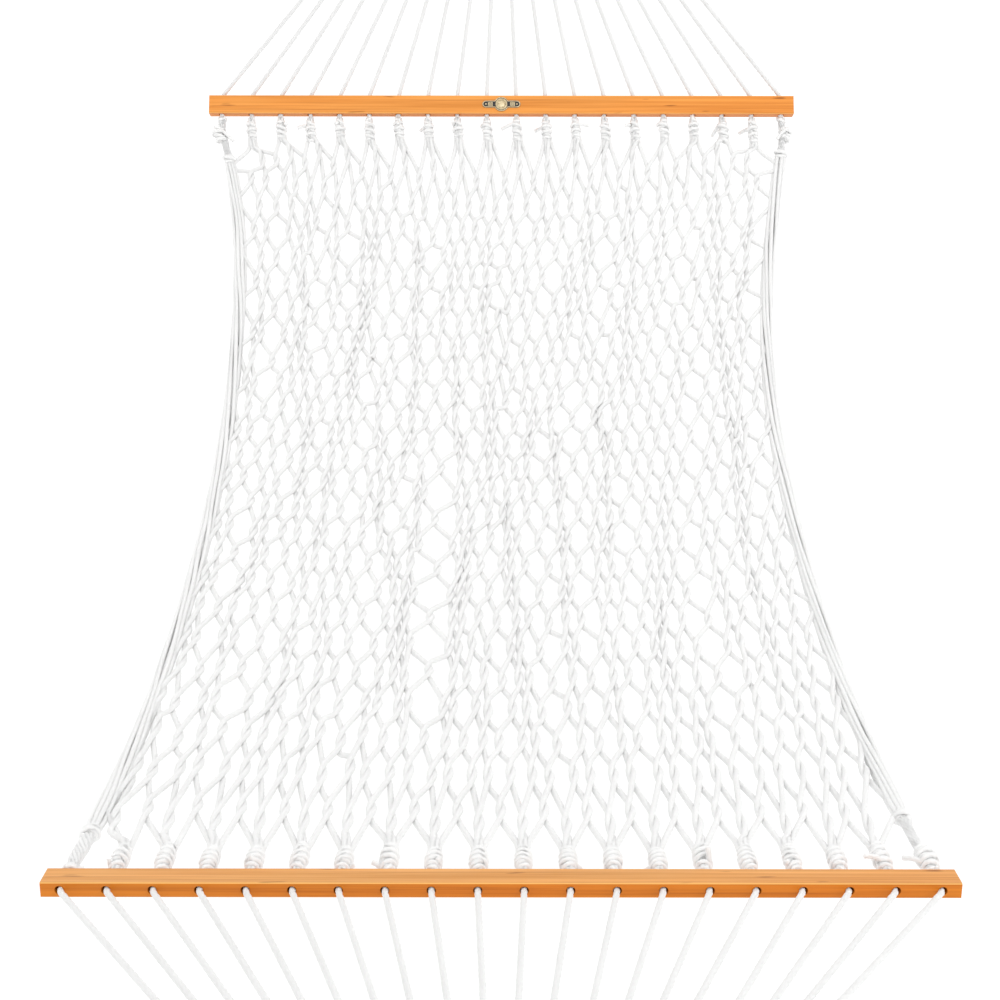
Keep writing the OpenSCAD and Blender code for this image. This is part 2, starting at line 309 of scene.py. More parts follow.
def wood_material(name, end):
    """Varnished honey-orange wood with its grain along the bar; painted light makes its top face paler than
    its other faces, which carry painted shade, and a painted highlight runs along its long corners.
    """
    n = Nodes(name)
    centre = middle(f"spreader_bar_{END_NAMES[end]}")
    moved = n.mapped(n.place(), shift=tuple(-centre))
    local = n.mapped(moved, turn=(-end * SLOPE, 0, 0))
    grain = n.noise(n.mapped(local, scale=(1.5, 110, 110)), 1.0, detail=5.0, rough=0.62)
    fine = n.noise(n.mapped(local, scale=(6, 620, 620)), 1.0, detail=3.0, rough=0.55)
    cloud = n.noise(n.mapped(local, scale=(2.6, 16, 16)), 1.0, detail=2.0)
    streaks = n.noise(n.mapped(local, scale=(2.0, 260, 260), shift=(1.7, 0, 0)), 1.0, detail=2.0)
    spots = n.noise(n.mapped(local, scale=(13, 90, 90), shift=(3.1, 0, 0)), 1.0, detail=1.0)
    parts = n.add("ShaderNodeSeparateXYZ")
    n.put(parts.inputs[0], local)
    height = n.math("DIVIDE", parts.outputs["Z"], BAR_T / 2)
    width = n.math("DIVIDE", n.math("ABSOLUTE", parts.outputs["Y"], 0), BAR_W / 2)
    # Painted light and shade: the top face gets the paler lit tone, and every other face gets the darker
    # shaded tone
    painted_lit_top_tone, side = WOOD_TONES_WITH_PAINTED_LIGHT[end]
    wood = n.mix(n.ramp(height, [(0.86, grey(0)), (0.95, grey(1))]), side, painted_lit_top_tone)
    grained = n.ramp(grain, [(0.3, (0.72, 0.60, 0.42)), (0.5, (0.88, 0.84, 0.78)), (0.68, grey(1))])
    wood = n.mix(1.0, wood, grained, "MULTIPLY")
    wood = n.mix(n.ramp(cloud, [(0.38, grey(0.0)), (0.66, grey(0.6))]), wood,
                 n.mix(1.0, wood, (0.98, 0.84, 0.62), "MULTIPLY"))
    for mark, stops, tint in (
        (streaks, ((0.6, 0.0), (0.72, 0.6)), (0.64, 0.52, 0.42)),
        (fine, ((0.5, 0.0), (0.75, 0.4)), (0.68, 0.56, 0.45)),
        (spots, ((0.7, 0.0), (0.78, 0.7)), (0.38, 0.3, 0.28)),
    ):
        wood = n.mix(n.ramp(mark, [(at, grey(amount)) for at, amount in stops]), wood,
                     n.mix(1.0, wood, tint, "MULTIPLY"))
    # Painted highlight: a paler line along the bar's long corners, where the rounded wood would catch the
    # light
    near_top = n.math("DIVIDE", n.math("SUBTRACT", n.math("ABSOLUTE", height, 0), 0.80), 0.20)
    near_side = n.math("DIVIDE", n.math("SUBTRACT", width, 0.89), 0.11)
    painted_edge_highlight = n.ramp(n.math("MINIMUM", near_top, near_side), [(0.3, grey(0)), (0.6, grey(0.65))])
    wood = n.mix(painted_edge_highlight, wood, (0.93, 0.56, 0.17))
    n.set(Base_Color=wood)
    n.set(Roughness=0.42, Specular_IOR_Level=0.16, Coat_Weight=0.12, Coat_Roughness=0.12)
    n.bump(fine, 0.12, 0.3 * MM)
    return n.mat


def steel_material():
    """Zinc-plated steel, a little dull, with faint brushing."""
    n = Nodes("zinc_steel")
    cloud = n.noise(n.place(), 60.0, detail=3.0)
    fine = n.noise(n.place(), 900.0, detail=2.0)
    colour = n.ramp(cloud, [(0.3, (0.50, 0.51, 0.53)), (0.7, (0.68, 0.69, 0.70))])
    n.set(Base_Color=colour)
    n.set(Roughness=n.ramp(cloud, [(0.3, grey(0.26)), (0.7, grey(0.42))]), Metallic=1.0)
    n.bump(fine, 0.08, 0.1 * MM)
    return n.mat


def enamel_material():
    """Black enamel, a little cloudy."""
    n = Nodes("black_enamel")
    cloud = n.noise(n.place(), 180.0, detail=3.0)
    colour = n.ramp(cloud, [(0.3, (0.012, 0.012, 0.014)), (0.75, (0.035, 0.032, 0.030))])
    n.set(Base_Color=colour)
    n.set(Roughness=0.3, Specular_IOR_Level=0.5)
    n.bump(cloud, 0.1, 0.1 * MM)
    return n.mat


def brass_material():
    """Aged pale brass, its tone varying in small random patches."""
    n = Nodes("aged_brass")
    cloud = n.noise(n.place(), 420.0, detail=4.0)
    colour = n.ramp(cloud, [(0.3, (0.46, 0.34, 0.17)), (0.6, (0.86, 0.74, 0.50))])
    n.set(Base_Color=colour)
    n.set(Metallic=0.85, Roughness=0.4)
    n.bump(cloud, 0.1, 0.1 * MM)
    return n.mat


NET_ROPE = rope_material("net_rope", (0.855, 0.855, 0.85), (0.815, 0.815, 0.81))
CLEW_ROPE = rope_material("clew_rope", (0.785, 0.785, 0.78), (0.75, 0.75, 0.745))
STEEL = steel_material()
ENAMEL = enamel_material()
BRASS = brass_material()

# ---------------------------------------------------------------- routes


def lengths(points):
    """Distance along a route at each of its points."""
    steps = np.linalg.norm(np.diff(points, axis=0), axis=1)
    return np.concatenate([[0.0], np.cumsum(steps)])


def even(points, step):
    """The same route with points at even distances."""
    points = np.asarray(points, float)
    along = lengths(points)
    count = max(2, int(round(along[-1] / step)) + 1)
    wanted = np.linspace(0, along[-1], count)
    return np.column_stack([np.interp(wanted, along, column) for column in points.T])


def softened(points, width, step=1.5 * MM):
    """A route with its corners rounded over about width, its two ends kept."""
    points = even(points, step)
    reach = int(3 * width / step)
    kernel = np.exp(-0.5 * (np.arange(-reach, reach + 1) * step / width) ** 2)
    kernel /= kernel.sum()
    before = 2 * points[0] - points[reach:0:-1]
    after = 2 * points[-1] - points[-2 : -reach - 2 : -1]
    padded = np.concatenate([before, points, after])
    return np.column_stack([np.convolve(column, kernel, mode="valid") for column in padded.T])


# ---------------------------------------------------------------- tubes
PLIES = 3
LOBE_SHARE = 0.24               # how far each ply's middle lies from the rope's, as a share of its radius
CAP_SWELL = 0.35                # how far a tube's rounded end stands out, as a share of its radius
ANY_WAY = (0.31, 0.17, 0.93)    # a direction that no route starts along


def transported(points, closed=False):
    """Tangents and one normal per point, turned as little as possible along the route."""
    ahead = np.roll(points, -1, axis=0) - np.roll(points, 1, axis=0)
    if not closed:
        ahead[0] = points[1] - points[0]
        ahead[-1] = points[-1] - points[-2]
    tangents = ahead / np.linalg.norm(ahead, axis=1)[:, None]
    first = np.cross(tangents[0], ANY_WAY)
    normals = np.empty_like(tangents)
    normals[0] = first / np.linalg.norm(first)
    for i in range(1, len(points)):
        carried = normals[i - 1] - tangents[i] * np.dot(normals[i - 1], tangents[i])
        normals[i] = carried / math.sqrt(np.dot(carried, carried))
    return tangents, normals


def ply_profile(sides):
    """Radius round a rope of three plies, as a share of its largest radius."""
    angle = (np.arange(sides) / sides * PLIES % 1 - 0.5) * 2 * math.pi / PLIES
    ply = 1 - LOBE_SHARE
    return LOBE_SHARE * np.cos(angle) + np.sqrt(ply**2 - (LOBE_SHARE * np.sin(angle)) ** 2)


class Run:
    """One tube of a mesh: its route, radius (a number or one per point), lay length and rings."""

    def __init__(self, points, radius, lay=None, closed=False, phase=0.0):
        self.points = np.asarray(points, float)
        self.radius = np.broadcast_to(np.asarray(radius, float), len(self.points))
        self.lay = lay
        self.closed = closed
        self.phase = phase


def bands(rings, sides, closed=False):
    """Quads between each ring of points and the next."""
    here = np.arange(rings if closed else rings - 1)[:, None] * sides
    there = (here + sides) % (rings * sides)
    k = np.arange(sides)
    after = (k + 1) % sides
    return np.stack([here + k, here + after, there + after, there + k], axis=-1).reshape(-1, 4)


def fan(start, sides, tip):
    """Triangles from the ring that begins at point start to one more point, its tip."""
    k = np.arange(sides)
    return np.stack([start + k, start + (k + 1) % sides, np.full(sides, tip)], axis=-1)


def tube_arrays(run, sides):
    """Vertices, quads, triangles and their UVs for one run."""
    points = run.points
    count = len(points)
    tangents, normals = transported(points, run.closed)
    sideways = np.cross(tangents, normals)
    along = lengths(points)
    turn = run.phase + (2 * math.pi * along / run.lay if run.lay else np.zeros(count))
    angles = turn[:, None] + 2 * math.pi * np.arange(sides) / sides
    profile = ply_profile(sides) if run.lay else np.ones(sides)
    radius = run.radius[:, None] * profile
    ring = np.cos(angles)[..., None] * normals[:, None] + np.sin(angles)[..., None] * sideways[:, None]
    verts = (points[:, None] + radius[..., None] * ring).reshape(-1, 3)
    quads = bands(count, sides, run.closed)
    k = np.arange(sides)
    v0 = np.broadcast_to(along[: len(quads) // sides, None], (len(quads) // sides, sides))
    v1 = v0 + along[-1] / (count - 1)
    u0, u1 = np.broadcast_to(k / sides, v0.shape), np.broadcast_to((k + 1) / sides, v0.shape)
    quad_uv = np.stack([u0, v0, u1, v0, u1, v1, u0, v1], axis=-1).reshape(-1, 4, 2)
    if run.closed:
        return verts, quads, np.empty((0, 3), int), quad_uv, np.empty((0, 3, 2))
    first_swell, last_swell = run.radius[0] * CAP_SWELL, run.radius[-1] * CAP_SWELL
    caps = np.array([points[0] - tangents[0] * first_swell, points[-1] + tangents[-1] * last_swell])
    first_cap = fan(0, sides, count * sides)[:, [1, 0, 2]]
    last_cap = fan((count - 1) * sides, sides, count * sides + 1)
    tris = np.concatenate([first_cap, last_cap])
    tri_uv = np.zeros((2 * sides, 3, 2))
    tri_uv[:, 0, 0] = np.tile(k / sides, 2)
    tri_uv[:, 1, 0] = np.tile((k + 1) / sides, 2)
    tri_uv[:, 2, 0] = np.tile((k + 0.5) / sides, 2)
    tri_uv[sides:, :2, 1] = along[-1]
    tri_uv[:sides, 2, 1] = -first_swell
    tri_uv[sides:, 2, 1] = along[-1] + last_swell
    return np.concatenate([verts, caps]), quads, tris, quad_uv, tri_uv


def mesh_from(name, verts, quads, tris, quad_uv=None, tri_uv=None):
    """A smooth mesh object from arrays of vertices, quads and triangles."""
    mesh = bpy.data.meshes.new(name)
    mesh.vertices.add(len(verts))
    mesh.vertices.foreach_set("co", verts.astype(np.float32).ravel())
    loops = np.concatenate([quads.ravel(), tris.ravel()]).astype(np.int32)
    mesh.loops.add(len(loops))
    mesh.loops.foreach_set("vertex_index", loops)
    starts = np.concatenate([np.arange(len(quads)) * 4, len(quads) * 4 + np.arange(len(tris)) * 3])
    mesh.polygons.add(len(starts))
    mesh.polygons.foreach_set("loop_start", starts.astype(np.int32))
    mesh.polygons.foreach_set("use_smooth", np.ones(len(starts), bool))
    if quad_uv is not None:
        layer = mesh.uv_layers.new(name="lay")
        layer.data.foreach_set("uv", np.concatenate([quad_uv.ravel(), tri_uv.ravel()]).astype(np.float32))
    mesh.update()
    mesh.validate()
    piece = bpy.data.objects.new(name, mesh)
    bpy.context.scene.collection.objects.link(piece)
    return piece


def tubes(name, runs, material, sides=12):
    """One mesh object that holds all the runs."""
    parts = [tube_arrays(run, sides) for run in runs]
    base = np.cumsum([0] + [len(p[0]) for p in parts[:-1]])
    verts = np.concatenate([p[0] for p in parts])
    quads = np.concatenate([p[1] + b for p, b in zip(parts, base)])
    tris = np.concatenate([p[2] + b for p, b in zip(parts, base)])
    quad_uv = np.concatenate([p[3] for p in parts])
    tri_uv = np.concatenate([p[4] for p in parts])
    piece = mesh_from(name, verts, quads, tris, quad_uv, tri_uv)
    piece.data.materials.append(material)
    return piece


def bind(piece, body, slot, *nodes):
    """Puts a piece on its body, in place of the CAD nodes given; the slot is not used."""
    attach(piece, body)
    if nodes:
        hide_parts(*nodes)


# ---------------------------------------------------------------- net
STRANDS = 4 * (HOLES - 2)       # four from each hole but the outermost two
PAIRS = STRANDS // 2
ROWS = 25                       # rows of twisted pairs, from the rear bar to the front bar
STRAND_R = 5.6 * MM
STRAND_LAY = 31 * MM
STRAND_STEP = 3.4 * MM
FIRST_ROW_S = 881 * MM          # the rear row, along the curve from the bed's middle
ROW_PITCH = 61.5 * MM           # at the rear
ROW_GROWTH = 51 * MM            # how much wider the pitch is at the front
GROWTH_POWER = 4                # how late along the bed it widens
ROW_ARCH = 72 * MM              # how much nearer the rear bar the rear row lies at its sides
CROSSING_SHARE = 0.47           # distance between a pair's two crossings, as a share of the pitch
TWIST_R = 4.3 * MM              # from a pair's middle to each strand's
WANDER = 0.31                   # how far columns wander across the bed, as a share of their distance
UNEVEN = 0.12                   # the same, for each pair of the even rows by itself
SLIDE = 8 * MM                  # how far pairs slip along the bed, one against its neighbours
MIN_GAP = 0.54                  # least distance between columns, as a share of the mean
CALM_ROWS = 2.5                 # rows near each bar that wander less
END_SHIFT = 40 * MM             # how much nearer the bar every other pair of the end rows lies
PAIR_CLEAR = 24 * MM            # least distance from a knot's neck to the middle of a pair
SIDE_FREE = 130 * MM            # the net doesn't join its side ropes nearer a bar than this


def smooth_noise(rows, columns, reach):
    """Random values with unit spread, each column smooth over about reach rows."""
    pad = int(4 * reach)
    raw = rng.standard_normal((rows + 2 * pad, columns))
    kernel = np.exp(-0.5 * (np.arange(-pad, pad + 1) / reach) ** 2)
    kernel /= np.sqrt((kernel**2).sum())
    return np.column_stack([np.convolve(c, kernel, mode="valid") for c in raw.T])


def spread_apart(x, least):
    """Pushes neighbours in each row apart until they are at least that far from each other."""
    for _ in range(30):
        short = np.maximum(least[:, None] - np.diff(x, axis=1), 0) / 2
        x[:, :-1] -= short
        x[:, 1:] += short
    return x


def row_places():
    """Arc length of each row in the middle of the bed, and its pitch."""
    part = np.arange(ROWS) / (ROWS - 1)
    pitch = ROW_PITCH + ROW_GROWTH * part**GROWTH_POWER
    s = FIRST_ROW_S - np.concatenate([[0], np.cumsum((pitch[:-1] + pitch[1:]) / 2)])
    return s, pitch


ROW_S, PITCH = row_places()
# How far the four strands of each hole stay together beyond their knot
NECKS = {end: rng.uniform(least, most, HOLES) * MM for end, least, most in ((FRONT, 32, 62), (REAR, 8, 26))}
NECKS[REAR][[1, HOLES - 2]] = 38 * MM


def net_half(s):
    """Half the width that the net's columns fill."""
    near = np.exp(-np.maximum(BED_HALF - np.abs(s) - 160 * MM, 0) / (55 * MM))
    return side_half(s) - 8 * MM - np.where(s < 0, 8, 27) * MM * near


def arched(x, row):
    """Rows lie nearer the rear bar at their sides, most of all at the rear."""
    return ROW_ARCH * (1 - row / (ROWS - 1)) * (x / WAIST_HALF) ** 2


def pair_places():
    """Places of the twisted pairs: x and s of each pair in each row, odd rows and even rows in turn."""
    width = net_half(ROW_S) / (PAIRS / 2)
    wander = smooth_noise(ROWS, PAIRS, 2.2) * WANDER
    columns = np.arange(PAIRS) - (PAIRS - 1) / 2
    odd_x = (columns[None] + wander) * width[:, None]
    odd_x = spread_apart(odd_x, MIN_GAP * width)
    between = (odd_x[:, :-1] + odd_x[:, 1:]) / 2
    even_x = between + rng.standard_normal(between.shape) * UNEVEN * width[:, None]
    slide = smooth_noise(ROWS, PAIRS, 1.8) * SLIDE
    calm = np.minimum(np.arange(ROWS), np.arange(ROWS)[::-1]) / CALM_ROWS
    calm = np.clip(calm, 0, 1)[:, None]
    even_rest = (np.arange(PAIRS - 1) - (PAIRS - 2) / 2) * width[:, None]
    even_x = even_rest + (even_x - even_rest) * calm
    odd_rest = columns[None] * width[:, None]
    odd_x = odd_rest + (odd_x - odd_rest) * np.clip(calm * 1.2, 0, 1)
    places = []
    for row in range(ROWS):
        x = (even_x if row % 2 == 0 else odd_x)[row]
        s = ROW_S[row] + arched(x, row) + slide[row, : len(x)] * min(1, 0.3 + calm[row, 0])
        if row in (0, ROWS - 1):
            end = REAR if row == 0 else FRONT
            s[0::2] += end * END_SHIFT
            longest = np.maximum(*(NECKS[end][1 + (2 * np.arange(len(x)) + k) // 4] for k in (1, 2)))
            s = end * np.minimum(end * s, BED_HALF - KNOT_LEN - longest - PAIR_CLEAR)
        if row == ROWS - 1:
            decay = 0.5 ** np.arange(len(x))
            x = x - 22 * MM * decay - 10 * MM * decay[::-1]
        places.append(np.column_stack([x, s]))
    return places


PLACES = pair_places()


def pair_of(strand, row):
    """Which pair of this row a strand belongs to, and its side; None where it joins a side rope."""
    first = strand + (row % 2)
    pair = (strand - 1) // 2 if row % 2 == 0 else strand // 2
    if row % 2 == 0 and strand in (0, STRANDS - 1):
        return None, LEFT if strand == 0 else RIGHT
    return pair, LEFT if first % 2 == 1 else RIGHT


def knot_place(strand, end):
    """Middle of the net-side end of the knot that a strand comes from."""
    return np.array([hole_x(1 + strand // 4), end * (BED_HALF - KNOT_LEN)])


def place_of(strand, row):
    """x and s of the pair, side rope or knot that a strand passes at this row."""
    if row < 0:
        return knot_place(strand, REAR)
    if row >= ROWS:
        return knot_place(strand, FRONT)
    pair, side = pair_of(strand, row)
    if pair is None:
        s = ROW_S[row] + arched(WAIST_HALF, row)
        s = np.clip(s, -BED_HALF + SIDE_FREE, BED_HALF - SIDE_FREE)
        return np.array([side * side_half(s), s])
    return PLACES[row][pair]


def twist_direction(strand, row):
    """Unit vector along a pair, from the middle of its rear neighbours to that of its front ones."""
    _, side = pair_of(strand, row)
    mate = strand + (1 if side == LEFT else -1)
    behind = (place_of(strand, row - 1) + place_of(mate, row - 1)) / 2
    ahead = (place_of(strand, row + 1) + place_of(mate, row + 1)) / 2
    along = ahead - behind
    return along / np.linalg.norm(along)


TWIST_TURN = np.radians(np.linspace(180 - 125, 180 + 125, 13))    # crossings at 90 and 270 degrees
TWIST_SWING = smooth_noise(ROWS, PAIRS, 0.5)


def twisted(strand, row):
    """Route of a strand once round its mate; a pair pulled wide apart is twisted in a shorter length."""
    pair, side = pair_of(strand, row)
    middle_x, middle_s = PLACES[row][pair]
    ahead = twist_direction(strand, row)
    across = np.array([-ahead[1], ahead[0]])
    mate = strand + (1 if side == LEFT else -1)
    gaps = [abs(place_of(strand, near)[0] - place_of(mate, near)[0]) for near in (row - 1, row + 1)]
    spread = sum(gaps) / 2 / (2 * net_half(ROW_S[row]) / PAIRS)
    half = PITCH[row] * CROSSING_SHARE / 2 * float(np.clip(1.32 - 0.3 * spread, 0.6, 1.15))
    half *= 1 + 0.06 * TWIST_SWING[row, pair]
    along = half * (TWIST_TURN - math.pi) / (math.pi / 2)
    off = side * TWIST_R * np.cos(TWIST_TURN)
    lift = side * TWIST_R * np.sin(TWIST_TURN)
    x = middle_x + ahead[0] * along + across[0] * off
    s = middle_s + ahead[1] * along + across[1] * off
    return np.column_stack([x, s, lift])


def along_side(side, row):
    """Route of an outermost strand where it runs inside the side rope."""
    middle_s = place_of(0, row)[1]
    s = middle_s + np.linspace(1, -1, 5) * PITCH[row] * 0.13
    return np.column_stack([side * (side_half(s) - 7 * MM), s, np.full(5, 1 * MM)])


def from_knot(strand, end):
    """Route of a strand inside its knot and along the neck beyond it, ending at the net side."""
    member, hole = strand % 4, 1 + strand // 4
    spread = (member - 1.5) * 4.4 * MM
    lift = (2.6 if member in (1, 2) else -2.4) * MM
    s = BED_HALF - np.array([8 * MM, KNOT_LEN * 0.5, KNOT_LEN, KNOT_LEN + NECKS[end][hole]])
    x = hole_x(hole) + spread * np.array([0.45, 0.85, 0.9, 1.1])
    route = np.column_stack([x, end * s, np.full(4, lift)])
    return route if end == REAR else route[::-1]


def strand_route(strand):
    """A whole net strand, from its rear knot to its front knot."""
    parts = [from_knot(strand, REAR)]
    for row in range(ROWS):
        pair, side = pair_of(strand, row)
        parts.append(along_side(side, row) if pair is None else twisted(strand, row))
    parts.append(from_knot(strand, FRONT))
    route = np.concatenate(parts)
    tight, gentle = softened(route, 3.4 * MM), softened(route, 9 * MM)
    from_neck = np.abs(tight[:, 1]) - BED_HALF + KNOT_LEN + 75 * MM
    near_bar = np.clip(from_neck / (30 * MM), 0, 1)[:, None]
    return tight + (gentle - tight) * near_bar


def make_net():
    for hole in range(1, HOLES - 1):
        runs = []
        for strand in range(4 * (hole - 1), 4 * hole):
            route = even(on_bed(strand_route(strand)), STRAND_STEP)
            runs.append(Run(route, STRAND_R, STRAND_LAY, phase=rng.uniform(0, 2 * math.pi)))
        piece = tubes(f"net_strands_{hole + 1:02d}", runs, NET_ROPE)
        bind(piece, "bed", "rope", "net")


make_net()

# ---------------------------------------------------------------- side ropes
# For each corner: the collar's distance from the bar, its turns, how wide the side rope is between
# the two, and the lump's distance, length, radius and shift outward
CORNERS = {
    (FRONT, LEFT): (122 * MM, 2.4, 0.80, 8 * MM, 12 * MM, 6.5 * MM, 0),
    (FRONT, RIGHT): (172 * MM, 1.8, 0.45, 22 * MM, 56 * MM, 12.5 * MM, 2 * MM),
    (REAR, LEFT): (111 * MM, 1.7, 0.42, 34 * MM, 34 * MM, 12.0 * MM, 8 * MM),
    (REAR, RIGHT): (96 * MM, 1.7, 0.42, 30 * MM, 34 * MM, 11.5 * MM, 6 * MM),
}
SIDE_STRANDS = 8                # round one in the middle
SIDE_STRAND_R = 4.9 * MM
SIDE_STEP = 6 * MM
SIDE_TURN = 1.6                 # length in which the bundle turns once
COLLAR_TURN = 105 * MM          # the same between a collar and its bar
BUNDLE_WIDE, BUNDLE_FLAT = 11.4 * MM, 6.6 * MM    # its half width and half height, to the strands' middles


def side_strand(side, member):
    """One of the parallel strands along an edge of the net, turning slowly round the middle one."""
    s = np.arange(-BED_HALF + SIDE_STEP, BED_HALF - SIDE_STEP, SIDE_STEP)
    sway = np.convolve(rng.standard_normal(len(s) + 40), np.hanning(41), mode="valid")[: len(s)]
    sway = sway / np.abs(sway).max()
    angle = 2 * math.pi * (member / SIDE_STRANDS + s / SIDE_TURN) + 0.35 * sway + side
    share = np.zeros(len(s))
    for end in (FRONT, REAR):
        collar_at, _, run, *_ = CORNERS[end, side]
        far = BED_HALF - end * s
        stops = [0, 12 * MM, collar_at / 2, collar_at - 14 * MM, collar_at, collar_at + 34 * MM]
        widths = np.interp(far, stops, [0.34, 0.4, run, run * 0.9, 0.75, 1.0])
        share = np.where(end * s > 0, widths, share)
        angle += end * 2 * math.pi * np.maximum(collar_at - far, 0) / COLLAR_TURN
    wide = (BUNDLE_WIDE + 0.9 * MM * np.roll(sway, 57)) * share
    flat = BUNDLE_FLAT * share
    if member == SIDE_STRANDS:
        wide, flat = 0.8 * MM * sway, 0
    return np.column_stack([side * side_half(s) + wide * np.cos(angle), s, flat * np.sin(angle)])


def make_side_ropes():
    for side, name in ((LEFT, "left"), (RIGHT, "right")):
        runs = []
        for member in range(SIDE_STRANDS + 1):
            route = even(on_bed(softened(side_strand(side, member), 6 * MM, 3 * MM)), STRAND_STEP)
            runs.append(Run(route, SIDE_STRAND_R, STRAND_LAY, phase=rng.uniform(0, 2 * math.pi)))
        piece = tubes(f"side_rope_{name}_strands", runs, NET_ROPE)
        bind(piece, "bed", "rope", f"side_rope_{name}")


make_side_ropes()

# ---------------------------------------------------------------- end knots
KNOT_ROPE_R = 4.6 * MM
KNOT_LAY = 31 * MM
INTO_BAR = 14 * MM              # how far a knot's rope reaches into its hole
FIRST_TURN = 11 * MM            # from a bar to a hitch's first turn
TAIL_SHARE = 0.6                # share of the hitches whose tail is long
LUMP_PITCH = 18 * MM            # length of a lump for each of its turns
HITCHES = {FRONT: (70 * MM, 9.8 * MM, 4.7), REAR: (50 * MM, 8.0 * MM, 3.3)}    # length, radius and turns


def knot_run(route):
    """A knot's rope along a route on the bed."""
    points = even(on_bed(softened(route, 2.4 * MM)), 2.4 * MM)
    return Run(points, KNOT_ROPE_R, KNOT_LAY, phase=rng.uniform(0, 2 * math.pi))


def tail(start, way, length):
    """A cut end of rope that leaves start along way and droops."""
    t = np.linspace(0.12, 1, 8)[:, None]
    way = np.asarray(way, float) / np.linalg.norm(way)
    return start + way * length * t + np.array([0, 0, -0.3]) * length * t**2


def crossed(x, first, toward, length, radius, turns):
    """Rope wound round an axis along the bed and then back over itself, so that its turns cross."""
    start, hand = rng.uniform(0, 2 * math.pi), rng.choice([-1, 1])
    go = np.linspace(0, 1, 40)
    back = np.linspace(1, 0.25, 32)[1:]
    share = np.concatenate([go, back])
    angle = start + hand * 2 * math.pi * turns * np.concatenate([go, 2 - back])
    over = np.concatenate([np.zeros(len(go)), np.minimum((1 - back) * 3.5, 1)])
    reach = radius * (0.78 + 0.22 * np.sin(math.pi * share)) + 2.4 * MM * over
    s = first + toward * (length * share + 1.6 * MM * np.cos(angle))
    return np.column_stack([x + reach * np.cos(angle), s, reach * np.sin(angle)])


def from_hole(x, end):
    """The stretch of a knot's rope that comes out of its hole."""
    return np.array([[x, end * (BED_HALF + INTO_BAR), 0], [x, end * (BED_HALF + 2 * MM), 0]])


def hitch(hole, end):
    """One knot beside its hole: rope from the hole, crossed turns round the strands, and a tail."""
    x = hole_x(hole)
    length, radius, turns = HITCHES[end]
    length *= rng.uniform(0.88, 1.12)
    radius *= rng.uniform(0.94, 1.06)
    turns *= rng.uniform(0.9, 1.12)
    turned = crossed(x, end * (BED_HALF - FIRST_TURN), -end, length, radius, turns)
    way = turned[-1] - turned[-3]
    way = way / np.linalg.norm(way) + np.array([0, -end * rng.uniform(0.25, 0.8), 0.3])
    tail_len = rng.uniform(20, 34) * MM if rng.random() < TAIL_SHARE else rng.uniform(7, 12) * MM
    return knot_run(np.concatenate([from_hole(x, end), turned, tail(turned[-1], way, tail_len)]))


def lump_core(middle_x, middle_s, length, radius):
    """The fat heart of a lump, which its turns lie on."""
    part = np.linspace(-1, 1, 20)
    s = part / 2 * length + middle_s
    points = on_bed(np.column_stack([np.full_like(s, middle_x), s, np.zeros_like(s)]))
    return Run(points, radius * np.sqrt(1 - 0.75 * part**2), KNOT_LAY)


def corner_knots(end, side):
    """The side rope's own knots near one bar: a turn at the hole, a lump with its tail, and the collar."""
    collar_at, turns, _, lump_at, lump_len, lump_r, outward = CORNERS[end, side]
    runs = []
    turned = crossed(0, end * (BED_HALF - lump_at), -end, lump_len, lump_r, lump_len / LUMP_PITCH)
    turned[:, 0] += side * (side_half(turned[:, 1]) + outward)
    way = np.array([-side * 0.9, -end * 0.9, 0.1])
    runs.append(knot_run(np.concatenate([turned, tail(turned[-1], way, 32 * MM)])))
    if lump_len > 20 * MM:
        heart = end * (BED_HALF - lump_at - lump_len / 2)
        heart_x = side * float(side_half(heart) + outward)
        runs.append(lump_core(heart_x, heart, lump_len * 0.95, lump_r * 0.95))
    mouth = crossed(side * END_HALF, end * (BED_HALF - 7 * MM), -end, 9 * MM, 6.5 * MM, 0.8)
    runs.append(knot_run(np.concatenate([from_hole(side * END_HALF, end), mouth])))
    collar_len = 10 * MM * turns
    collar_s = end * (BED_HALF - collar_at) + end * collar_len / 2
    collar = crossed(0, collar_s, -end, collar_len, 11.0 * MM, turns)
    collar[:, 0] += side * side_half(collar[:, 1])
    way = collar[-1] - collar[-3]
    runs.append(knot_run(np.concatenate([collar, tail(collar[-1], way, rng.uniform(6, 12) * MM)])))
    return runs


def make_knots():
    for end in (FRONT, REAR):
        runs = [hitch(hole, end) for hole in range(1, HOLES - 1)]
        for side in (LEFT, RIGHT):
            runs += corner_knots(end, side)
        piece = tubes(f"end_knots_{END_NAMES[end]}_rope", runs, NET_ROPE)
        bind(piece, "bed", "rope", f"end_knots_{END_NAMES[end]}")


make_knots()

# ---------------------------------------------------------------- clew ropes
CLEW_R = 5.2 * MM
CLEW_LAY = 42 * MM
CLEW_STEP = 4.2 * MM
LAYERS = 4
LAYER_PITCH, COLUMN_PITCH = 10 * MM, 12 * MM
COLUMNS = HOLES // LAYERS
COLLAR_U = RING_U - COLLAR_TOP - COLLAR_LEN
LEAN = 1 - 2.1 * MM / END_HALF  # ropes lie against the side of their holes that faces the ring
BEND_U = BAR_W + 3.4 * MM       # where they bend, just outside the bar


def collar_x(i):
    return (i // LAYERS - (COLUMNS - 1) / 2) * COLUMN_PITCH


def collar_v(i):
    return (i % LAYERS - (LAYERS - 1) / 2) * LAYER_PITCH


def clew_route(end, i):
    """One clew rope, from inside its knot through the bar to inside the whipping."""
    x = hole_x(i) * LEAN
    bend = np.array([x, BEND_U, 0])
    far = np.array([collar_x(i), COLLAR_U, collar_v(i)])
    beyond = far + (far - bend) / np.linalg.norm(far - bend) * 6 * MM
    inner = np.array([x, -12 * MM, 0])
    return softened(np.array([inner, bend, beyond]), 4 * MM)


